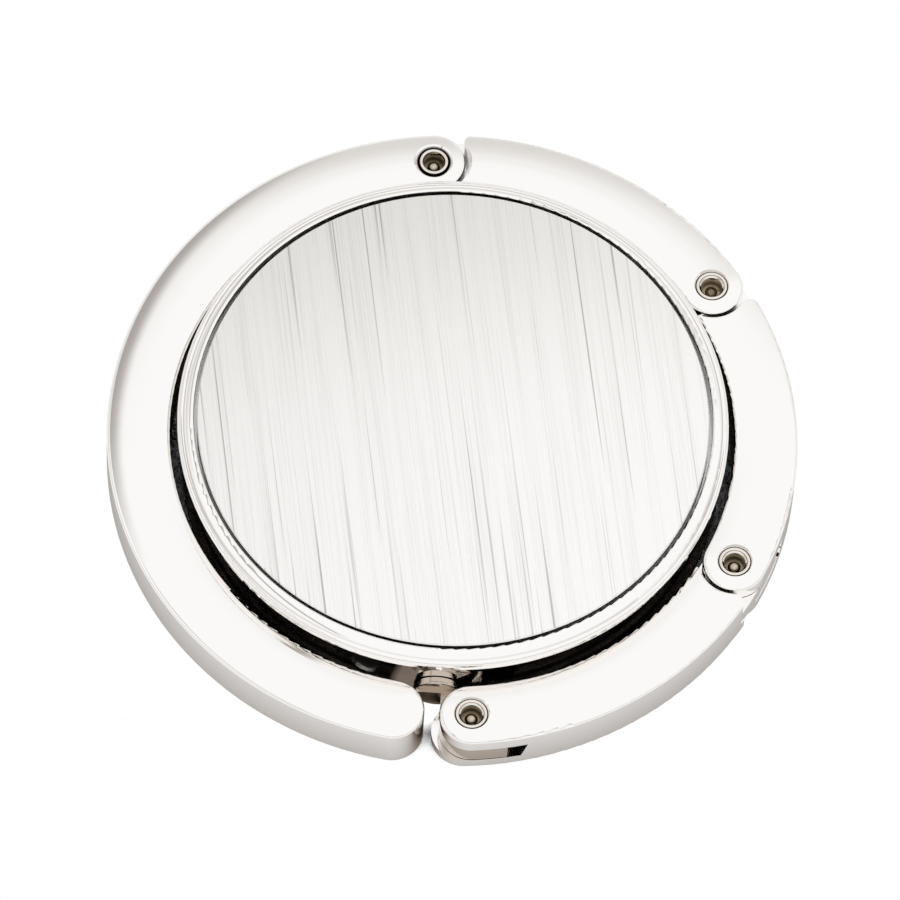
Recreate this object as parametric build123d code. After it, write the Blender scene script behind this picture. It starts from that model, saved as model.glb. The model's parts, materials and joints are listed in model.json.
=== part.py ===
from build123d import *
import os
from math import acos, asin, atan2, cos, degrees, hypot, radians, sin, sqrt

os.makedirs("parts", exist_ok=True)

# Folding bag hook, closed. The origin is the centre of the rubber pad's rest face and +Z is up.
# The post that carries the ring leaves the tray along -Y. Angles are in degrees from +X.

# Ring of links and hook arm
ring_width = 4.15
swing_clearance = 0.11
ring_height = 3.7
ring_lift = 0.9
crown_width = 2.0
crown_drop = 0.14
top_edge = 0.22
bottom_edge = 0.25
pin_step = 60
first_pin_turn = 6.5
tip_turn = 178

# Fork and tongue of each hinge
bottom_plate = 1.0
slot_height = 1.4
tongue_play = 0.05
eye_inset = 0.04
heel_r = 2.95
heel_gap = 0.2
slot_slant = 0.4
fork_step = 0.45
shoulder_gap = 0.27
shoulder_edge = 0.18
plate_gap = 0.17
outer_horn_r = 0.7
low_horn_r = 0.25
horn_overlap = 0.02
tongue_root = 1.2

# Hollow rivets
rivet_r = 0.95
rivet_play = 0.05
rivet_seat = 0.01
rivet_head_r = 1.5
rivet_head_height = 0.35
head_seat = 0.05
sink_r = 1.18
sink_depth = 0.32
arm_sink_r = 1.34
flare_sink = 0.1
lip_width = 0.22
rivet_bore_r = 0.7
rivet_bore_depth = 0.9
bore_dome_r = 0.42
bore_dome_rises = (0.28, 0.28, -0.3, 0.32)

# Tray and its bezel
bezel_r = 17.92
bezel_land = 1.07
bezel_fall = 0.33
crease_width = 0.05
crease_depth = 0.05
shoulder_width = 0.24
shoulder_height = 0.36
bezel_lip = 0.14
bezel_above_inlay = 0.05
bezel_over_ring = 1.0
bezel_under_edge = 0.12
bezel_overhang = 0.3
body_edge = 0.3
wall = 2.0
pad_proud = 0.5
floor_thickness = 1.2
hub_r = 2.6
rib_width = 1.2
rib_count = 3

# Brushed plate and its adhesive
inlay_gap = 0.2
inlay_thickness = 1.0
inlay_edge = 0.08
inlay_glue_thickness = 0.1
inlay_glue_margin = 0.25

# Base plate, rubber pad and its adhesive
ledge = 0.5
base_plate_thickness = 0.4
pad_glue_thickness = 0.1
pad_thickness = 0.7
pad_play = 0.08
pad_edge = 0.15

# Swivel post, washer and clip
shank_r = 1.0
shank_play = 0.05
collar_r = 1.55
collar_gap = 0.05
collar_width = 0.45
collar_edge = 0.12
boss_width = 4.4
boss_length = 0.5
washer_thickness = 0.15
washer_bow = 0.12
washer_gap = 0.06
clip_thickness = 0.4
clip_mouth = 1.1
clip_play = 0.03
groove_depth = 0.25
groove_play = 0.04
shank_tail = 0.45
neck_side = 1.2
tip_clearance = 0.3

# Closing magnet and the steel slug that it holds
magnet_turn = -16
magnet_r = 1.3
magnet_length = 2.0
magnet_skin = 0.4
magnet_wall = 0.6
slug_r = 1.1
slug_length = 1.9
slug_recess = 0.1
slug_seat = 0.02

# One overrun serves every cut
overrun = 1.0

# Places worked out from the sizes
half_width = ring_width / 2
ring_bottom = ring_lift
ring_top = ring_bottom + ring_height
slot_bottom = ring_bottom + bottom_plate
slot_top = slot_bottom + slot_height
hinge_z = (slot_bottom + slot_top) / 2
tongue_bottom = slot_bottom + tongue_play
tongue_top = slot_top - tongue_play
eye_r = half_width - eye_inset
fork_depth = heel_r + heel_gap
shoulder_r = half_width + shoulder_gap
low_shoulder_r = half_width + fork_step + plate_gap

tray_bottom = pad_proud
glue_bottom = pad_thickness
plate_bottom = glue_bottom + pad_glue_thickness
cavity_bottom = plate_bottom + base_plate_thickness
bezel_bottom = ring_top + bezel_over_ring
floor_top = bezel_bottom
floor_bottom = floor_top - floor_thickness
inlay_bottom = floor_top + inlay_glue_thickness
inlay_top = inlay_bottom + inlay_thickness
bezel_top = inlay_top + bezel_above_inlay
step_z = bezel_top - bezel_fall - crease_depth
shoulder_z = step_z - shoulder_height
body_r = bezel_r - bezel_overhang
recess_r = bezel_r - bezel_land
inlay_r = recess_r - inlay_gap
cavity_r = body_r - wall
pad_recess_r = cavity_r + ledge
base_r = pad_recess_r - pad_play
collar_inner = body_r + collar_gap
collar_outer = collar_inner + collar_width
boss_end = cavity_r - boss_length
clip_outer = boss_end - washer_thickness - washer_bow
clip_inner = clip_outer - clip_thickness
washer_r = hinge_z - cavity_bottom - washer_gap

# The ring swings right round the tray, so the bezel's farthest edge sets the ring's size
ring_inner_r = hypot(bezel_r, shoulder_z - hinge_z) + swing_clearance
pin_r = ring_inner_r + half_width
ring_outer_r = ring_inner_r + ring_width
step_turn = degrees(fork_step / pin_r)
post_angle = -90
pin_angles = [post_angle + first_pin_turn + pin_step * i for i in range(4)]
tip_angle = post_angle + 360 - (180 - tip_turn)
tip_cap_angle = tip_angle - degrees(asin(half_width / pin_r))
magnet_angle = post_angle + magnet_turn


def polar(r, angle):
    return (r * cos(radians(angle)), r * sin(radians(angle)))


def arc(centre, r, start, end):
    """Arc about a centre, from one angle to another."""
    points = []
    for angle in (start, (start + end) / 2, end):
        x, y = polar(r, angle)
        points.append((centre[0] + x, centre[1] + y))
    return ThreePointArc(*points)


def path(points):
    return [Line(a, b) for a, b in zip(points, points[1:])]


def revolved(face, turn=360):
    """Turns a section, drawn as radius and height, about the Z axis."""
    return revolve(Plane.XZ * face, Axis.Z, turn)


def prism(face, bottom, top):
    return Pos(0, 0, bottom) * extrude(face, top - bottom)


def disc(r, bottom, top):
    return Pos(0, 0, bottom) * Cylinder(r, top - bottom, align=(Align.CENTER, Align.CENTER, Align.MIN))


def hole_at(place, r, bottom, top):
    return Pos(place[0], place[1], 0) * disc(r, bottom, top)


def on_post_axis(shape):
    """Turns what stands on +Z so that it points along the post's axis, outwards."""
    return Pos(0, 0, hinge_z) * Rot(90, 0, 0) * shape


def tangent_turn(centre, r, point):
    """Where on a circle the right-hand tangent from an outside point touches it."""
    away_x, away_y = point[0] - centre[0], point[1] - centre[1]
    return degrees(atan2(away_y, away_x)) - degrees(acos(r / hypot(away_x, away_y)))


# Cross-section of the ring


def ring_half_section(centre_r):
    """Outer half of the section: flat, slightly crowned, rounded into the wall."""
    crown_run = crown_width - top_edge
    crown_r = (crown_run ** 2 + crown_drop ** 2) / (2 * crown_drop)
    slope = asin(crown_run / crown_r)
    edge_r = top_edge / (1 - sin(slope))
    wall_x = centre_r + half_width
    crown_x = wall_x - crown_width
    crown_z = ring_top - crown_r
    edge_x = wall_x - edge_r
    edge_z = ring_top - crown_drop - edge_r * cos(slope)
    low_x = wall_x - bottom_edge
    low_z = ring_bottom + bottom_edge
    edges = path([(centre_r, ring_top), (crown_x, ring_top)])
    edges.append(arc((crown_x, crown_z), crown_r, 90, 90 - degrees(slope)))
    edges.append(arc((edge_x, edge_z), edge_r, 90 - degrees(slope), 0))
    edges += path([(wall_x, edge_z), (wall_x, low_z)])
    edges.append(arc((low_x, low_z), bottom_edge, 0, -90))
    edges += path([(low_x, ring_bottom), (centre_r, ring_bottom), (centre_r, ring_top)])
    return make_face(edges)


def ring_stretch(start, end):
    """Stretch of the ring between two angles, square at both ends."""
    half = ring_half_section(0)
    section = Pos(pin_r, 0) * (half + mirror(half, Plane.YZ))
    return Rot(0, 0, start) * revolved(section, end - start)


def round_end(angle, side):
    """Rounded end about a pin axis, on the side of falling (-1) or rising (1) angles."""
    cap = revolve(Plane.XZ * ring_half_section(0), Axis.Z, 180 * side)
    return Rot(0, 0, angle) * Pos(pin_r, 0, 0) * cap


def slab(bottom, top):
    return disc(ring_outer_r + overrun, bottom, top)


# Hinge features


def heel_edges(pin_angle):
    """Outline of a tongue's heel, from the eye's outermost point to its point along the ring."""
    pin = polar(pin_r, pin_angle)
    outer = pin_r + eye_r
    turn = degrees(acos((pin_r ** 2 + outer ** 2 - heel_r ** 2) / (2 * pin_r * outer)))
    corner = polar(outer, pin_angle + turn)
    corner_turn = degrees(atan2(corner[1] - pin[1], corner[0] - pin[0]))
    ends = []
    for r in (heel_r, eye_r):
        x, y = polar(r, pin_angle + 90)
        ends.append((pin[0] + x, pin[1] + y))
    edges = [
        arc((0, 0), outer, pin_angle, pin_angle + turn),
        arc(pin, heel_r, corner_turn, pin_angle + 90),
    ]
    return edges + path(ends)


def tongue_plan(pin_angle):
    """Eye and heel round the pin, with a neck as wide as the eye back into the link."""
    root = pin_angle - degrees((low_shoulder_r + tongue_root) / pin_r)
    outer = pin_r + eye_r
    inner = pin_r - eye_r
    edges = [arc((0, 0), outer, root, pin_angle)] + heel_edges(pin_angle)
    edges.append(arc(polar(pin_r, pin_angle), eye_r, pin_angle + 90, pin_angle + 180))
    edges.append(arc((0, 0), inner, pin_angle, root))
    edges += path([polar(inner, root), polar(outer, root)])
    return make_face(edges)


def horn(pin, r, reach, wall_reach, horn_r, angle):
    """Points of a horn's rounding, between the shoulder's arc and a wall of the ring."""
    span = r + horn_r
    turn = degrees(acos((pin_r ** 2 + reach ** 2 - span ** 2) / (2 * pin_r * reach)))
    centre = polar(reach, angle - turn)
    wall_point = polar(wall_reach, angle - turn)
    share = r / span
    touch = (pin[0] + (centre[0] - pin[0]) * share, pin[1] + (centre[1] - pin[1]) * share)
    to_pin = ((pin[0] - centre[0]) / span, (pin[1] - centre[1]) / span)
    to_wall = ((wall_point[0] - centre[0]) / horn_r, (wall_point[1] - centre[1]) / horn_r)
    middle = (to_pin[0] + to_wall[0], to_pin[1] + to_wall[1])
    size = hypot(*middle)
    mid_point = (centre[0] + middle[0] * horn_r / size, centre[1] + middle[1] * horn_r / size)
    return touch, mid_point, wall_point, angle - turn


def shoulder_cut(angle, r, top_horn_r, bottom, top):
    """Takes a link's end away round the next link's rounded end, leaving two rounded horns."""
    pin = polar(pin_r, angle)
    outer = horn(pin, r, ring_outer_r - top_horn_r + horn_overlap, ring_outer_r + horn_overlap,
                 top_horn_r, angle)
    inner = horn(pin, r, ring_inner_r + low_horn_r - horn_overlap, ring_inner_r - horn_overlap,
                 low_horn_r, angle)
    deepest = (pin[0] + r * sin(radians(angle)), pin[1] - r * cos(radians(angle)))
    past = angle + degrees(half_width / pin_r)
    edges = [
        ThreePointArc(outer[2], outer[1], outer[0]),
        ThreePointArc(outer[0], deepest, inner[0]),
        ThreePointArc(inner[0], inner[1], inner[2]),
    ]
    edges += path([
        inner[2], polar(ring_inner_r - overrun, inner[3]), polar(ring_inner_r - overrun, past),
        polar(ring_outer_r + overrun, past), polar(ring_outer_r + overrun, outer[3]), outer[2],
    ])
    return prism(make_face(edges), bottom, top)


def shoulder_bevel(angle):
    """Bevel on the top edge of the shoulder, about the pin."""
    low = ring_top - shoulder_edge
    section = make_face(path([
        (0, low), (shoulder_r, low), (shoulder_r + shoulder_edge + overrun, ring_top + overrun),
        (0, ring_top + overrun), (0, low),
    ]))
    return Rot(0, 0, angle) * Pos(pin_r, 0, 0) * revolved(section)


def fork_slot(angle):
    """Slot through the full width of a fork, open at its end and deeper at its top."""
    mouth = -(half_width + fork_step + overrun)
    side = make_face(path([
        (mouth, slot_bottom), (fork_depth, slot_bottom), (fork_depth + slot_slant, slot_top),
        (mouth, slot_top), (mouth, slot_bottom),
    ]))
    slot = extrude(Plane.YZ * side, half_width + overrun, both=True)
    return Rot(0, 0, angle) * Pos(pin_r, 0, 0) * slot


def fork_holes(angle, mouth_r):
    """Rivet hole through both plates, sunk for the rivet's lip above and for its head below."""
    seat = rivet_r + rivet_seat
    drill = make_face(path([
        (0, ring_bottom - overrun), (rivet_head_r + head_seat, ring_bottom - overrun),
        (rivet_head_r + head_seat, ring_bottom + rivet_head_height + head_seat),
        (seat, ring_bottom + rivet_head_height + head_seat),
        (seat, ring_top - sink_depth), (mouth_r, ring_top), (mouth_r, ring_top + overrun),
        (0, ring_top + overrun), (0, ring_bottom - overrun),
    ]))
    return Rot(0, 0, angle) * Pos(pin_r, 0, 0) * revolved(drill)


def forked_body(start, end):
    """Ring stretch with its fork at the start. The bottom plate is longer than the top plate."""
    upper = ring_stretch(start, end) + round_end(start, -1)
    lower = ring_stretch(start - step_turn, end) + round_end(start - step_turn, -1)
    return upper & slab(slot_bottom, ring_top + overrun), lower & slab(ring_bottom - overrun, slot_bottom)


def make_link(start, end):
    """Short link: fork at its start, tongue and horned shoulder at its end."""
    upper, lower = forked_body(start, end - degrees(tongue_root / pin_r))
    body = upper + lower - shoulder_bevel(end)
    body = body - shoulder_cut(end, shoulder_r, outer_horn_r, tongue_bottom, ring_top + overrun)
    body = body - shoulder_cut(end, low_shoulder_r, low_horn_r, ring_bottom - overrun, tongue_bottom)
    body = body - fork_slot(start) - fork_holes(start, sink_r)
    tongue = prism(tongue_plan(end), tongue_bottom, tongue_top)
    eye_hole = hole_at(polar(pin_r, end), rivet_r + rivet_play, ring_bottom, ring_top)
    return body + (tongue - eye_hole)


def radial_rod(r, inner_r, outer_r, angle):
    """Round bar along a radius at the ring's mid height."""
    bar = Rot(0, 90, 0) * disc(r, inner_r, outer_r)
    return Rot(0, 0, angle) * Pos(0, 0, (ring_bottom + ring_top) / 2) * bar


def make_hook_arm():
    """Long arc that carries the bag: fork at its start, full round tip."""
    start = pin_angles[3]
    upper, lower = forked_body(start, tip_cap_angle)
    tip = round_end(tip_cap_angle, 1)
    upper = upper + (tip & slab(slot_bottom, ring_top + overrun))
    lower = lower + (tip & slab(ring_bottom - overrun, slot_bottom))
    body = upper + lower - fork_slot(start) - fork_holes(start, arm_sink_r)
    depth = slug_recess + slug_length + slug_seat
    pocket = radial_rod(slug_r + slug_seat, ring_inner_r - overrun, ring_inner_r + depth, magnet_angle)
    return body - pocket


def make_rivet(flare, dome_rise):
    """Hollow rivet: flush head below, lip flared outwards into the sink above, domed bore floor."""
    base = ring_bottom + head_seat
    head_top = base + rivet_head_height
    top = ring_top - flare_sink
    flare_z = ring_top - sink_depth
    lip_r = lip_width / 2
    flare_r = rivet_r + flare * (top - lip_r - flare_z) / sink_depth
    bore_floor = top - rivet_bore_depth
    dome_r = (bore_dome_r ** 2 + dome_rise ** 2) / (2 * dome_rise)
    dome_middle = asin(bore_dome_r / dome_r) / 2
    dome_top = bore_floor + dome_rise
    mouth_r = flare_r - lip_width
    edges = path([
        (0, base), (rivet_head_r, base), (rivet_head_r, head_top), (rivet_r, head_top),
        (rivet_r, flare_z), (flare_r, top - lip_r),
    ])
    edges.append(arc((flare_r - lip_r, top - lip_r), lip_r, 0, 180))
    edges += path([
        (mouth_r, top - lip_r), (rivet_bore_r, flare_z), (rivet_bore_r, bore_floor),
        (bore_dome_r, bore_floor),
    ])
    edges.append(ThreePointArc(
        (bore_dome_r, bore_floor),
        (dome_r * sin(dome_middle), dome_top - dome_r * (1 - cos(dome_middle))), (0, dome_top),
    ))
    edges += path([(0, dome_top), (0, base)])
    return revolved(make_face(edges))


# Tray


def tray_section():
    """Outside of the tray, solid below, with the recess for the brushed plate."""
    crease_r = bezel_r - shoulder_width - crease_width
    rise_r = recess_r + bezel_lip
    run = crease_r - rise_r
    dome_r = (run ** 2 + bezel_fall ** 2) / (2 * bezel_fall)
    dome_turn = degrees(asin(run / dome_r))
    edges = path([(0, tray_bottom), (body_r - body_edge, tray_bottom)])
    edges.append(arc((body_r - body_edge, tray_bottom + body_edge), body_edge, -90, 0))
    edges += path([
        (body_r, tray_bottom + body_edge), (body_r, bezel_bottom),
        (bezel_r - bezel_under_edge, bezel_bottom), (bezel_r, bezel_bottom + bezel_under_edge),
        (bezel_r, shoulder_z),
    ])
    edges.append(EllipticalCenterArc(
        (bezel_r - shoulder_width, shoulder_z), shoulder_width, shoulder_height, arc_size=90
    ))
    edges += path([(bezel_r - shoulder_width, step_z), (crease_r, step_z + crease_depth)])
    edges.append(arc((rise_r, bezel_top - dome_r), dome_r, 90 - dome_turn, 90))
    edges.append(arc((rise_r, bezel_top - bezel_lip), bezel_lip, 90, 180))
    edges += path([
        (recess_r, bezel_top - bezel_lip), (recess_r, floor_top), (0, floor_top), (0, tray_bottom),
    ])
    return make_face(edges)


def tray_boss(angle, width, inner_r):
    """Block inside the cavity, from an inner radius out into the wall."""
    outer_r = body_r - wall / 2
    block = Pos(inner_r, 0, cavity_bottom) * Box(
        outer_r - inner_r, width, floor_bottom - cavity_bottom + overrun / 2,
        align=(Align.MIN, Align.CENTER, Align.MIN),
    )
    return Rot(0, 0, angle) * block


def make_tray():
    """Cored casting: bezel, side wall, floor, post boss, magnet boss, hub and ribs."""
    tray = revolved(tray_section())
    tray = tray - disc(pad_recess_r, tray_bottom - overrun, cavity_bottom)
    tray = tray - disc(cavity_r, cavity_bottom - overrun, floor_bottom)
    tray = tray + disc(hub_r, cavity_bottom, floor_bottom + overrun / 2)
    for i in range(rib_count):
        tray = tray + tray_boss(post_angle + 180 + i * 360 / rib_count, rib_width, 0)
    tray = tray + tray_boss(post_angle, boss_width, boss_end)
    magnet_outer = body_r - magnet_skin
    magnet_inner = magnet_outer - magnet_length
    boss_half = magnet_r + magnet_wall
    tray = tray + tray_boss(magnet_angle, 2 * boss_half, magnet_inner)
    tray = tray - radial_rod(magnet_r + slug_seat, magnet_inner - overrun, magnet_outer, magnet_angle)
    return tray - on_post_axis(disc(shank_r + shank_play, boss_end - overrun, body_r + overrun))


def make_inlay():
    plate = disc(inlay_r, inlay_bottom, inlay_top)
    return chamfer(plate.faces().sort_by(Axis.Z)[-1].edges(), inlay_edge)


def make_pad():
    pad = disc(base_r, 0, pad_thickness)
    return chamfer(pad.faces().sort_by(Axis.Z)[0].edges(), pad_edge)


# Swivel post


def post_tongue_plan():
    """Flat tongue: short neck from the collar, clear of the arm's tip, and web to the eye."""
    pin = polar(pin_r, pin_angles[0])
    tip = polar(pin_r, tip_cap_angle)
    root = (neck_side, -collar_outer + collar_width / 2)
    low_y = -ring_inner_r
    left_x = tip[0] + sqrt((half_width + tip_clearance) ** 2 - (low_y - tip[1]) ** 2)
    touch = tangent_turn(pin, eye_r, root)
    edges = path([
        root, (left_x, root[1]), (left_x, low_y), (pin[0] - eye_r, low_y), (pin[0] - eye_r, pin[1]),
    ])
    edges.append(arc(pin, eye_r, -180, pin_angles[0]))
    edges += heel_edges(pin_angles[0])
    edges.append(arc(pin, eye_r, pin_angles[0] + 90, touch))
    x, y = polar(eye_r, touch)
    edges += path([(pin[0] + x, pin[1] + y), root])
    return make_face(edges)


def post_section():
    """Shank with a clip groove and a round collar, as radius and distance from the tray's centre."""
    groove_inner = clip_inner - groove_play
    tip = groove_inner - shank_tail
    groove_r = shank_r - groove_depth
    edges = path([
        (0, tip), (shank_r, tip), (shank_r, groove_inner), (groove_r, groove_inner),
        (groove_r, clip_outer), (shank_r, clip_outer), (shank_r, collar_inner),
        (collar_r, collar_inner), (collar_r, collar_outer - collar_edge),
    ])
    edges.append(arc((collar_r - collar_edge, collar_outer - collar_edge), collar_edge, 0, 90))
    edges += path([(collar_r - collar_edge, collar_outer), (0, collar_outer), (0, tip)])
    return make_face(edges)


def make_post():
    """Turned shank and collar with the flat tongue that holds the first link."""
    tongue = prism(post_tongue_plan(), tongue_bottom, tongue_top)
    eye_hole = hole_at(polar(pin_r, pin_angles[0]), rivet_r + rivet_play, ring_bottom, ring_top)
    return on_post_axis(revolved(post_section())) + (tongue - eye_hole)


def make_washer():
    """Thin bowed washer that presses the collar to the tray wall."""
    hole_r = shank_r + shank_play
    inner = clip_outer + washer_thickness
    corners = [
        (hole_r, clip_outer), (washer_r, clip_outer + washer_bow), (washer_r, inner + washer_bow),
        (hole_r, inner), (hole_r, clip_outer),
    ]
    return on_post_axis(revolved(make_face(path(corners))))


def make_clip():
    """Open retaining clip in the shank's groove, with its mouth upwards."""
    ring = disc(washer_r, clip_inner, clip_outer)
    ring = ring - disc(shank_r - groove_depth + clip_play, clip_inner - overrun, clip_outer + overrun)
    mouth = Pos(0, 0, clip_inner - overrun) * Box(
        clip_mouth, washer_r + overrun, clip_thickness + 2 * overrun,
        align=(Align.CENTER, Align.MIN, Align.MIN),
    )
    return on_post_axis(ring - mouth)


def make_magnet():
    outer = body_r - magnet_skin
    return radial_rod(magnet_r, outer - magnet_length, outer, magnet_angle)


def make_slug():
    inner = ring_inner_r + slug_recess
    return radial_rod(slug_r, inner, inner + slug_length, magnet_angle)


parts = {
    "tray_casting": make_tray(),
    "inlay_plate": make_inlay(),
    "inlay_adhesive": disc(inlay_r - inlay_glue_margin, floor_top, inlay_bottom),
    "base_plate": disc(base_r, plate_bottom, cavity_bottom),
    "pad_adhesive": disc(base_r, glue_bottom, plate_bottom),
    "base_pad": make_pad(),
    "swivel_post": make_post(),
    "swivel_washer": make_washer(),
    "swivel_clip": make_clip(),
    "tray_magnet": make_magnet(),
    "tip_slug": make_slug(),
    "hook_arm": make_hook_arm(),
}
links = list(zip(pin_angles, pin_angles[1:]))
for number, (start, end) in enumerate(links, 1):
    parts[f"link_{number}"] = make_link(start, end)
flares = [sink_r - rivet_r - rivet_seat] * len(links) + [0]
for number, (angle, flare, rise) in enumerate(zip(pin_angles, flares, bore_dome_rises), 1):
    place = polar(pin_r, angle)
    parts[f"rivet_{number}"] = Pos(place[0], place[1], 0) * make_rivet(flare, rise)

for name, shape in parts.items():
    solids = shape.solids()
    export_step(solids[0] if len(solids) == 1 else Compound(solids), f"parts/{name}.step")
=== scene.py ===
import json
import math

import bpy
from mathutils import Matrix, Vector


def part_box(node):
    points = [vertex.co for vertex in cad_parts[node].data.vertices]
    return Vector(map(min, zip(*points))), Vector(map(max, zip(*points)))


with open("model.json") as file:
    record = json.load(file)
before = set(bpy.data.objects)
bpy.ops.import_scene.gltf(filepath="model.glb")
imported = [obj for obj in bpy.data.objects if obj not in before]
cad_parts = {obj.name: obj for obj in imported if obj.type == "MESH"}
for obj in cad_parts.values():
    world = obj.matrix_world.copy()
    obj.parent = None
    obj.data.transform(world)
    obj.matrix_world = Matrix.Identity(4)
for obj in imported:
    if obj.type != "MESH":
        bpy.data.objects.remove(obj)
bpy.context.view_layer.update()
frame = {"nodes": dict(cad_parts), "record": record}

MM = 0.001

# Where the photograph was taken from, in millimetres and degrees
CAMERA_ELEVATION = 61.76
CAMERA_ROLL = 3.49
CAMERA_DISTANCE = 609.3
CAMERA_TARGET = (-0.095, 0.651, 0.9)
FOCAL_PIXELS = 9307.7
IMAGE_PIXELS = 900
SENSOR_WIDTH = 36.0

# The brush lines on the plate run this way in plan, in degrees
BRUSH_ANGLE = -80.4
# The plate mirrors as if it were the top of a ball this big
PLATE_BOW_RADIUS = 172.414 * MM

# The painted shade in the sink round each rivet's lip reaches this far from the rivet's centre
SINK_REACH = 1.35 * MM

# The floor runs this far each way. Painted light keeps it bright in the opening between the ring's
# ends.
FLOOR_HALF = 3000 * MM
OPENING_CENTRE = (-1.2 * MM, -17.6 * MM, 0)
OPENING_INNER, OPENING_OUTER = 1.5 * MM, 2.2 * MM

# The scrim over the object, where it greys behind, and the seam on its left
SCRIM_LOW, SCRIM_HIGH = (-450 * MM, -350 * MM), (450 * MM, 330 * MM)
SCRIM_HEIGHT = 250 * MM
BEHIND_DIRECTION = (-0.25, 0.97, 0)
BEHIND_START, BEHIND_END = 125 * MM, 260 * MM
SEAM_DIRECTION = (-0.97, 0.24, 0)
SEAM_NEAR = 96 * MM, 138 * MM
SEAM_FAR = 142 * MM, 158 * MM

# Colours are written as sRGB
PLATE_WHITE = "#FBF9F7"
PLATE_GAP_PAINTED_SHADE = "#241F1D"
RIVET_NICKEL = "#EFEAE2"
RIVET_GAP_PAINTED_SHADE = "#241B14"
BORE_OLIVE_PAINTED_SHADE = "#B8AA90"
POST_TAUPE_PAINTED_SHADE = "#C9BDB0"
POST_GAP_PAINTED_SHADE = "#2A2220"
ALUMINIUM = "#FFFEFC"
ALUMINIUM_SHADE = "#ECEAE7"
SCRATCH_SHADE = "#C4C1BD"
RUBBER_BLACK = "#161617"
FILM_CREAM = "#DDD8C8"
FILM_SHADE = "#CFC8B5"
ZINC_SHEET = "#B9BBBD"
SPRING_GREY = "#6E6C69"
MAGNET_NICKEL = "#C9C6C0"
SLUG_STEEL = "#B4B3B1"
PAPER_WHITE = "#FFFFFF"
PAPER_WARM = "#E9E2DC"
PAPER_SHADE = "#7A7067"
SHADOW_BLACK = "#040303"
ROOM_WHITE = "#FFFFFF"
ROOM_GREY = "#C6C2BF"
SCRIM_WHITE = "#FFFFFF"
SCRIM_GREY = "#DFDDDA"
SCRIM_DARK = "#ACA8A5"

# The Mix node's two colours and their blend have no names of their own
FIRST, SECOND, BLEND = 6, 7, 2
SMOOTH = {"interpolation_type": "SMOOTHSTEP"}
FALLING = {"To Min": 1.0, "To Max": 0.0}


def linear(colour):
    """sRGB hex to the linear colour that a socket takes."""
    parts = [int(colour[i:i + 2], 16) / 255 for i in (1, 3, 5)]
    return [c / 12.92 if c <= 0.04045 else ((c + 0.055) / 1.055) ** 2.4 for c in parts] + [1.0]


def add_node(tree, kind, settings=None, inputs=None):
    """Adds a node. A setting is an attribute; an input is a value, or a socket to link from."""
    made = tree.nodes.new(kind)
    for name, value in (settings or {}).items():
        setattr(made, name, value)
    for name, value in (inputs or {}).items():
        if isinstance(value, bpy.types.NodeSocket):
            tree.links.new(value, made.inputs[name])
        else:
            made.inputs[name].default_value = value
    return made


def new_material(name, colour, metallic, roughness):
    """A material with its shader's own values set, its tree and shader to add detail to, and the
    place on the object that patterns are laid out by."""
    material = bpy.data.materials.new(name)
    material.use_nodes = True
    tree = material.node_tree
    shader = tree.nodes["Principled BSDF"]
    shader.inputs["Base Color"].default_value = linear(colour)
    shader.inputs["Metallic"].default_value = metallic
    shader.inputs["Roughness"].default_value = roughness
    place = add_node(tree, "ShaderNodeTexCoord").outputs["Object"]
    return material, tree, shader, place


def open_share(tree, reach, shut, clear):
    """1 on open surface, falling to 0 in narrow gaps, where painted shade goes. Reach is how far
    off a wall still counts."""
    seen = add_node(tree, "ShaderNodeAmbientOcclusion", {"samples": 12}, {"Distance": reach})
    share = add_node(tree, "ShaderNodeMapRange", SMOOTH, {
        "Value": seen.outputs["AO"], "From Min": shut, "From Max": clear,
    })
    return share.outputs["Result"]


def run_colour(tree, shader, share, low, high):
    """Runs the surface's colour from low to high with a share, and hands the colour back."""
    colour = add_node(tree, "ShaderNodeMix", {"data_type": "RGBA"}, {
        "Factor": share, FIRST: low, SECOND: high,
    }).outputs[BLEND]
    tree.links.new(colour, shader.inputs["Base Color"])
    return colour


def run_roughness(tree, shader, pattern, low, high):
    """Runs the surface's roughness from low to high with a pattern."""
    rough = add_node(tree, "ShaderNodeMapRange", None, {
        "Value": pattern, "To Min": low, "To Max": high,
    })
    tree.links.new(rough.outputs["Result"], shader.inputs["Roughness"])


def raise_relief(tree, shader, pattern, depth):
    """Stands a pattern up to depth out of the surface."""
    relief = add_node(tree, "ShaderNodeBump", None, {"Height": pattern, "Distance": depth})
    tree.links.new(relief.outputs["Normal"], shader.inputs["Normal"])


# Materials


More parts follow.
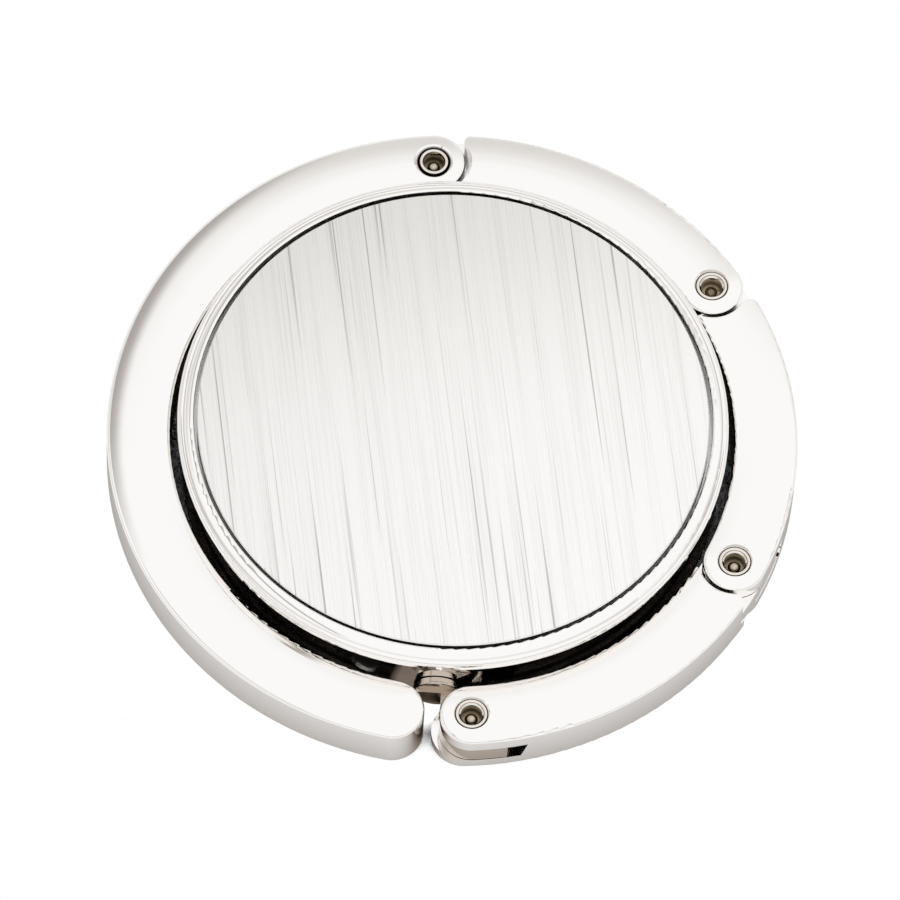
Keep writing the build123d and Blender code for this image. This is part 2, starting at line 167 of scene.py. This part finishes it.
def plated_casting(rivets, lip_z):
    """Nickel-chrome plate on polished cast zinc: mirror bright over the faint waves that buffing
    leaves, with painted shade that darkens the narrow gaps and the sinks round the rivets' lips."""
    material, tree, shader, place = new_material("plated_zinc_casting", PLATE_WHITE, 1.0, 0.06)
    gap_reach, cloud_width, wave_length, wave_depth = 1.2 * MM, 2.0 * MM, 3.0 * MM, 0.006 * MM
    share = open_share(tree, gap_reach, 0.02, 0.2)
    # Painted shade also darkens the sinks round the rivets' lips, below the lips' tops
    flat = add_node(tree, "ShaderNodeVectorMath", {"operation": "MULTIPLY"}, {
        0: place, 1: (1, 1, 0),
    }).outputs["Vector"]
    height = add_node(tree, "ShaderNodeSeparateXYZ", None, {"Vector": place}).outputs["Z"]
    above = add_node(tree, "ShaderNodeMapRange", None, {
        "Value": height, "From Min": lip_z - 0.12 * MM, "From Max": lip_z - 0.02 * MM,
    })
    for centre in rivets:
        reach = add_node(tree, "ShaderNodeVectorMath", {"operation": "DISTANCE"}, {
            0: flat, 1: centre,
        })
        away = add_node(tree, "ShaderNodeMath", {"operation": "GREATER_THAN"}, {
            0: reach.outputs["Value"], 1: SINK_REACH,
        })
        outside_sink = add_node(tree, "ShaderNodeMath", {"operation": "MAXIMUM"}, {
            0: away.outputs["Value"], 1: above.outputs["Result"],
        })
        share = add_node(tree, "ShaderNodeMath", {"operation": "MULTIPLY"}, {
            0: share, 1: outside_sink.outputs["Value"],
        }).outputs["Value"]
    # Painted shade: the plate turns dark in narrow gaps and in the rivets' sinks
    run_colour(tree, shader, share, linear(PLATE_GAP_PAINTED_SHADE), linear(PLATE_WHITE))
    # Cloudy patches, where the plate is a little duller
    cloud = add_node(tree, "ShaderNodeTexNoise", None, {
        "Vector": place, "Scale": 1 / cloud_width, "Detail": 2.0,
    })
    run_roughness(tree, shader, cloud.outputs["Fac"], 0.03, 0.09)
    wave = add_node(tree, "ShaderNodeTexNoise", None, {
        "Vector": place, "Scale": 1 / wave_length, "Detail": 1.0,
    })
    raise_relief(tree, shader, wave.outputs["Fac"], wave_depth)
    return material


def plated_steel():
    """Bright plate on turned steel with fine rings from the lathe tool. Its warm taupe tone is
    painted shade, and painted shade darkens its corners.
    """
    material, tree, shader, place = new_material("plated_turned_steel", POST_TAUPE_PAINTED_SHADE, 1.0, 0.14)
    gap_reach, grain_width, ring_spacing, ring_depth = 1.2 * MM, 0.4 * MM, 0.12 * MM, 0.002 * MM
    # A wave texture of scale 1 repeats every 0.314
    wave_repeat = 0.314
    # Painted shade darkens the post's corners and narrow gaps
    share = open_share(tree, gap_reach, 0.08, 0.34)
    run_colour(tree, shader, share, linear(POST_GAP_PAINTED_SHADE), linear(POST_TAUPE_PAINTED_SHADE))
    grain = add_node(tree, "ShaderNodeTexNoise", None, {
        "Vector": place, "Scale": 1 / grain_width, "Detail": 2.0,
    })
    run_roughness(tree, shader, grain.outputs["Fac"], 0.1, 0.2)
    # The shank lies along Y, and the tool goes round it
    rings = add_node(tree, "ShaderNodeTexWave", {"bands_direction": "Y"}, {
        "Vector": place, "Scale": wave_repeat / ring_spacing, "Distortion": 1.0,
    })
    raise_relief(tree, shader, rings.outputs["Fac"], ring_depth)
    return material


def rivet_steel(foot_z, lip_z):
    """Nickel plate on a tubular steel rivet: bright on the rolled lip and on the foot, with
    painted shade that turns it olive down the bore and dark in narrow gaps, and uneven from
    peening."""
    material, tree, shader, place = new_material("nickelled_rivet_steel", RIVET_NICKEL, 1.0, 0.1)
    gap_reach, lump_width, lump_depth = 1.2 * MM, 0.3 * MM, 0.012 * MM
    # Painted shade turns the bore olive below the lip; the lip and the foot stay nickel
    height = add_node(tree, "ShaderNodeSeparateXYZ", None, {"Vector": place}).outputs["Z"]
    lip = add_node(tree, "ShaderNodeMapRange", None, {
        "Value": height, "From Min": lip_z - 0.9 * MM, "From Max": lip_z - 0.2 * MM,
    })
    foot = add_node(tree, "ShaderNodeMapRange", None, {
        "Value": height, "From Min": foot_z + 0.05 * MM, "From Max": foot_z + 0.15 * MM, **FALLING,
    })
    bright = add_node(tree, "ShaderNodeMath", {"operation": "MAXIMUM"}, {
        0: lip.outputs["Result"], 1: foot.outputs["Result"],
    })
    plate = run_colour(
        tree, shader, bright.outputs["Value"], linear(BORE_OLIVE_PAINTED_SHADE), linear(RIVET_NICKEL))
    # Painted shade darkens the rivet in narrow gaps
    share = open_share(tree, gap_reach, 0.15, 0.6)
    run_colour(tree, shader, share, linear(RIVET_GAP_PAINTED_SHADE), plate)
    lumps = add_node(tree, "ShaderNodeTexNoise", None, {
        "Vector": place, "Scale": 1 / lump_width, "Detail": 2.0,
    })
    run_roughness(tree, shader, lumps.outputs["Fac"], 0.05, 0.16)
    raise_relief(tree, shader, lumps.outputs["Fac"], lump_depth)
    return material


def brushed_aluminium():
    """Aluminium sheet brushed one way with belt grit and clear coated: fine uneven hairlines that
    run with the belt, broader paler and darker bands, and single deeper scratches. Real hairlines
    are finer. They are drawn as coarse as they need to show."""
    material, tree, shader, place = new_material("brushed_aluminium_sheet", ALUMINIUM, 1.0, 0.4)
    hair_width, hair_depth, band_width, scratch_width = 0.12 * MM, 0.008 * MM, 1.1 * MM, 0.18 * MM
    hair_stretch, scratch_stretch = 140.0, 150.0
    shader.inputs["Anisotropic"].default_value = 0.9
    # Light spreads across the brush lines, not along them
    across = math.radians(BRUSH_ANGLE + 90)
    spread = add_node(tree, "ShaderNodeCombineXYZ", None, {
        "X": math.cos(across), "Y": math.sin(across),
    })
    tangent = add_node(tree, "ShaderNodeVectorTransform", {
        "vector_type": "VECTOR", "convert_from": "OBJECT", "convert_to": "WORLD",
    }, {"Vector": spread.outputs["Vector"]})
    tree.links.new(tangent.outputs["Vector"], shader.inputs["Tangent"])
    # The belt draws every mark out along the brush lines
    hair_place, scratch_place = [
        add_node(tree, "ShaderNodeMapping", {"vector_type": "TEXTURE"}, {
            "Vector": place, "Rotation": (0, 0, math.radians(BRUSH_ANGLE)),
            "Scale": (stretch, 1.0, 1.0),
        }).outputs["Vector"] for stretch in (hair_stretch, scratch_stretch)
    ]
    hairs = add_node(tree, "ShaderNodeTexNoise", None, {
        "Vector": hair_place, "Scale": 1 / hair_width, "Detail": 4.0, "Roughness": 0.6,
    }).outputs["Fac"]
    bands = add_node(tree, "ShaderNodeTexNoise", None, {
        "Vector": hair_place, "Scale": 1 / band_width, "Detail": 2.0,
    })
    scratches = add_node(tree, "ShaderNodeTexNoise", None, {
        "Vector": scratch_place, "Scale": 1 / scratch_width, "Detail": 1.0,
    })
    tone = add_node(tree, "ShaderNodeMix", {"data_type": "FLOAT"}, {
        "Factor": 0.35, "A": hairs, "B": bands.outputs["Fac"],
    })
    pale = add_node(tree, "ShaderNodeMapRange", None, {
        "Value": tone.outputs["Result"], "From Min": 0.28, "From Max": 0.52,
    })
    sheet = run_colour(
        tree, shader, pale.outputs["Result"], linear(ALUMINIUM_SHADE), linear(ALUMINIUM))
    deep = add_node(tree, "ShaderNodeMapRange", None, {
        "Value": scratches.outputs["Fac"], "From Min": 0.64, "From Max": 0.76,
    })
    run_colour(tree, shader, deep.outputs["Result"], sheet, linear(SCRATCH_SHADE))
    run_roughness(tree, shader, hairs, 0.25, 0.33)
    # Under the hairlines the relief bows like the top of a ball. It is already in metres.
    square = add_node(tree, "ShaderNodeVectorMath", {"operation": "DOT_PRODUCT"}, {
        0: place, 1: place,
    })
    bow = add_node(tree, "ShaderNodeMath", {"operation": "MULTIPLY"}, {
        0: square.outputs["Value"], 1: -1 / (2 * PLATE_BOW_RADIUS),
    })
    height = add_node(tree, "ShaderNodeMath", {"operation": "MULTIPLY_ADD"}, {
        0: hairs, 1: hair_depth, 2: bow.outputs["Value"],
    })
    raise_relief(tree, shader, height.outputs["Value"], 1.0)
    return material


def pad_rubber():
    """Moulded rubber: matt black with the fine grain of a blasted mould."""
    material, tree, shader, place = new_material("moulded_pad_rubber", RUBBER_BLACK, 0.0, 0.75)
    patch_width, grain_width, grain_depth = 0.8 * MM, 0.15 * MM, 0.02 * MM
    patch = add_node(tree, "ShaderNodeTexNoise", None, {"Vector": place, "Scale": 1 / patch_width})
    run_roughness(tree, shader, patch.outputs["Fac"], 0.65, 0.85)
    grain = add_node(tree, "ShaderNodeTexNoise", None, {"Vector": place, "Scale": 1 / grain_width})
    raise_relief(tree, shader, grain.outputs["Fac"], grain_depth)
    return material


def adhesive_film():
    """Double-sided film: cream, with the faint mottle of the glue."""
    material, tree, shader, place = new_material("double_sided_film", FILM_CREAM, 0.0, 0.5)
    mottle_width = 1.0 * MM
    mottle = add_node(tree, "ShaderNodeTexNoise", None, {
        "Vector": place, "Scale": 1 / mottle_width,
    })
    run_colour(tree, shader, mottle.outputs["Fac"], linear(FILM_SHADE), linear(FILM_CREAM))
    return material


def base_steel():
    """Zinc-plated sheet steel: dull blue-grey with soft spangle."""
    material, tree, shader, place = new_material("zinc_plated_sheet", ZINC_SHEET, 1.0, 0.4)
    spangle_width = 2.0 * MM
    spangle = add_node(tree, "ShaderNodeTexVoronoi", None, {
        "Vector": place, "Scale": 1 / spangle_width,
    })
    run_roughness(tree, shader, spangle.outputs["Color"], 0.3, 0.5)
    return material


def inner_metal(name, colour, roughness, mark_width, low, high):
    """Metal of a piece inside the tray or the arm, with fine marks duller than the rest."""
    material, tree, shader, place = new_material(name, colour, 1.0, roughness)
    marks = add_node(tree, "ShaderNodeTexNoise", None, {"Vector": place, "Scale": 1 / mark_width})
    run_roughness(tree, shader, marks.outputs["Fac"], low, high)
    return material


rivet_boxes = [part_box(f"rivet_{number}") for number in range(1, 5)]
rivet_centres = [((low.x + high.x) / 2, (low.y + high.y) / 2, 0) for low, high in rivet_boxes]
foot_bottom, lip_top = [corner.z for corner in rivet_boxes[0]]
finishes = {
    "plated_casting": plated_casting(rivet_centres, lip_top),
    "plated_steel": plated_steel(),
    "rivet_steel": rivet_steel(foot_bottom, lip_top),
    "brushed_aluminium": brushed_aluminium(),
    "adhesive_film": adhesive_film(),
    "base_steel": base_steel(),
    "pad_rubber": pad_rubber(),
    # Hardened spring steel, dark under patches of oil
    "spring_steel": inner_metal("oiled_spring_steel", SPRING_GREY, 0.35, 0.3 * MM, 0.25, 0.45),
    # Nickel on a sintered magnet, bright with a fine matt tooth
    "magnet_nickel": inner_metal("nickelled_magnet", MAGNET_NICKEL, 0.2, 0.2 * MM, 0.15, 0.28),
    # Mild steel from the lathe, grey with fine tool marks
    "slug_steel": inner_metal("turned_mild_steel", SLUG_STEEL, 0.3, 0.2 * MM, 0.25, 0.4),
}
for part in frame["record"]["subparts"]:
    mesh = frame["nodes"][part["node"]].data
    mesh.materials.clear()
    mesh.materials.append(finishes[part["material_slot"]])


# Floor, scrim, room and camera


def bare_tree(owner):
    """The node tree of a material or world, with nothing in it."""
    owner.use_nodes = True
    owner.node_tree.nodes.clear()
    return owner.node_tree


def make_sheet(name, low, high, height, material):
    """A level sheet between two corners."""
    mesh = bpy.data.meshes.new(name)
    corners = [(low[0], low[1]), (high[0], low[1]), (high[0], high[1]), (low[0], high[1])]
    mesh.from_pydata([(x, y, height) for x, y in corners], [], [(0, 1, 2, 3)])
    mesh.materials.append(material)
    sheet = bpy.data.objects.new(name, mesh)
    bpy.context.scene.collection.objects.link(sheet)
    return sheet


def make_floor():
    """White paper. Its shadow is painted: it is dark only deep under and inside the object, and
    the metal sees it with painted shade near the object."""
    material = bpy.data.materials.new("floor_paper")
    tree = bare_tree(material)
    shade_reach = 20 * MM
    shade = add_node(tree, "ShaderNodeAmbientOcclusion", {"samples": 16}, {
        "Distance": shade_reach,
    }).outputs["AO"]
    # Painted shade: the metal sees the paper darken near the object
    clear = add_node(tree, "ShaderNodeMapRange", None, {"Value": shade, "From Min": 0.35})
    mirrored = add_node(tree, "ShaderNodeMix", {"data_type": "RGBA"}, {
        "Factor": clear.outputs["Result"], FIRST: linear(PAPER_SHADE), SECOND: linear(PAPER_WHITE),
    })
    path = add_node(tree, "ShaderNodeLightPath").outputs
    lit = add_node(tree, "ShaderNodeMix", {"data_type": "RGBA"}, {
        "Factor": path["Is Camera Ray"], FIRST: mirrored.outputs[BLEND],
        SECOND: linear(PAPER_WHITE),
    })
    # Painted shadow: the paper turns black deep under and inside the object
    under = add_node(tree, "ShaderNodeMapRange", SMOOTH, {
        "Value": shade, "From Min": 0.16, "From Max": 0.24,
    })
    # Painted light keeps the paper bright between the ring's ends, below the post
    reach = add_node(tree, "ShaderNodeVectorMath", {"operation": "DISTANCE"}, {
        0: add_node(tree, "ShaderNodeTexCoord").outputs["Object"], 1: OPENING_CENTRE,
    })
    opening = add_node(tree, "ShaderNodeMapRange", None, {
        "Value": reach.outputs["Value"], "From Min": OPENING_INNER, "From Max": OPENING_OUTER,
        **FALLING,
    })
    bright = add_node(tree, "ShaderNodeMath", {"operation": "MAXIMUM"}, {
        0: under.outputs["Result"], 1: opening.outputs["Result"],
    })
    colour = add_node(tree, "ShaderNodeMix", {"data_type": "RGBA"}, {
        "Factor": bright.outputs["Value"], FIRST: linear(SHADOW_BLACK), SECOND: lit.outputs[BLEND],
    })
    glow = add_node(tree, "ShaderNodeEmission", None, {
        "Color": colour.outputs[BLEND], "Strength": 1.0,
    })
    paper = add_node(tree, "ShaderNodeBsdfDiffuse", None, {"Color": linear(PAPER_WARM)})
    # The camera and what mirrors or passes light see the glow, and all other rays the paper
    seen = path["Is Camera Ray"]
    for ray in ("Is Glossy Ray", "Is Transmission Ray"):
        seen = add_node(tree, "ShaderNodeMath", {"operation": "MAXIMUM"}, {
            0: seen, 1: path[ray],
        }).outputs["Value"]
    surface = add_node(tree, "ShaderNodeMixShader", None, {
        0: seen, 1: paper.outputs["BSDF"], 2: glow.outputs["Emission"],
    })
    add_node(tree, "ShaderNodeOutputMaterial", None, {"Surface": surface.outputs["Shader"]})
    low, high = (-FLOOR_HALF, -FLOOR_HALF), (FLOOR_HALF, FLOOR_HALF)
    make_sheet("studio_floor", low, high, 0, material)


def make_scrim():
    """White cloth over the object, seen only in its metal. It greys behind, and a darker seam on
    the left rims the tops of the plates."""
    material = bpy.data.materials.new("scrim_cloth")
    tree = bare_tree(material)
    place = add_node(tree, "ShaderNodeTexCoord").outputs["Object"]
    behind, side = [
        add_node(tree, "ShaderNodeVectorMath", {"operation": "DOT_PRODUCT"}, {
            0: place, 1: direction,
        }).outputs["Value"] for direction in (BEHIND_DIRECTION, SEAM_DIRECTION)
    ]
    grey = add_node(tree, "ShaderNodeMapRange", SMOOTH, {
        "Value": behind, "From Min": BEHIND_START, "From Max": BEHIND_END,
    })
    cloth = add_node(tree, "ShaderNodeMix", {"data_type": "RGBA"}, {
        "Factor": grey.outputs["Result"], FIRST: linear(SCRIM_WHITE), SECOND: linear(SCRIM_GREY),
    })
    near = add_node(tree, "ShaderNodeMapRange", SMOOTH, {
        "Value": side, "From Min": SEAM_NEAR[0], "From Max": SEAM_NEAR[1],
    })
    far = add_node(tree, "ShaderNodeMapRange", SMOOTH, {
        "Value": side, "From Min": SEAM_FAR[0], "From Max": SEAM_FAR[1], **FALLING,
    })
    seam = add_node(tree, "ShaderNodeMath", {"operation": "MULTIPLY"}, {
        0: near.outputs["Result"], 1: far.outputs["Result"],
    })
    colour = add_node(tree, "ShaderNodeMix", {"data_type": "RGBA"}, {
        "Factor": seam.outputs["Value"], FIRST: cloth.outputs[BLEND], SECOND: linear(SCRIM_DARK),
    })
    glow = add_node(tree, "ShaderNodeEmission", None, {
        "Color": colour.outputs[BLEND], "Strength": 1.0,
    })
    add_node(tree, "ShaderNodeOutputMaterial", None, {"Surface": glow.outputs["Emission"]})
    scrim = make_sheet("studio_scrim", SCRIM_LOW, SCRIM_HIGH, SCRIM_HEIGHT, material)
    scrim.visible_camera = False


def make_room():
    """Pale room that greys towards the horizon. The camera sees plain white."""
    world = bpy.data.worlds.new("studio_room")
    bpy.context.scene.world = world
    tree = bare_tree(world)
    way = add_node(tree, "ShaderNodeTexCoord").outputs["Generated"]
    rise = add_node(tree, "ShaderNodeMapRange", SMOOTH, {
        "Value": add_node(tree, "ShaderNodeSeparateXYZ", None, {"Vector": way}).outputs["Z"],
        "From Min": 0.0, "From Max": 0.5,
    })
    light = add_node(tree, "ShaderNodeMix", {"data_type": "RGBA"}, {
        "Factor": rise.outputs["Result"], FIRST: linear(ROOM_GREY), SECOND: linear(ROOM_WHITE),
    })
    path = add_node(tree, "ShaderNodeLightPath")
    room, white = [
        add_node(tree, "ShaderNodeBackground", None, {"Color": colour, "Strength": 1.0})
        for colour in (light.outputs[BLEND], linear(ROOM_WHITE))
    ]
    seen = add_node(tree, "ShaderNodeMixShader", None, {
        0: path.outputs["Is Camera Ray"], 1: room.outputs["Background"],
        2: white.outputs["Background"],
    })
    add_node(tree, "ShaderNodeOutputWorld", None, {"Surface": seen.outputs["Shader"]})


def make_camera():
    """A long lens at the photograph's angle, rolled a little."""
    elevation = math.radians(CAMERA_ELEVATION)
    back = Vector((0, -math.cos(elevation), math.sin(elevation)))
    right = Vector((1, 0, 0))
    up = back.cross(right)
    place = Vector(CAMERA_TARGET) * MM + back * CAMERA_DISTANCE * MM
    facing = Matrix((right, up, back)).transposed().to_4x4()
    roll = Matrix.Rotation(math.radians(CAMERA_ROLL), 4, "Z")
    camera = bpy.data.objects.new("camera", bpy.data.cameras.new("camera"))
    camera.matrix_world = Matrix.Translation(place) @ facing @ roll
    camera.data.sensor_width = SENSOR_WIDTH
    camera.data.lens = SENSOR_WIDTH * FOCAL_PIXELS / IMAGE_PIXELS
    camera.data.clip_start = 1 * MM
    camera.data.clip_end = 10000 * MM
    bpy.context.scene.collection.objects.link(camera)
    bpy.context.scene.camera = camera


make_floor()
make_scrim()
make_room()
make_camera()
bpy.context.scene.view_settings.view_transform = "Standard"
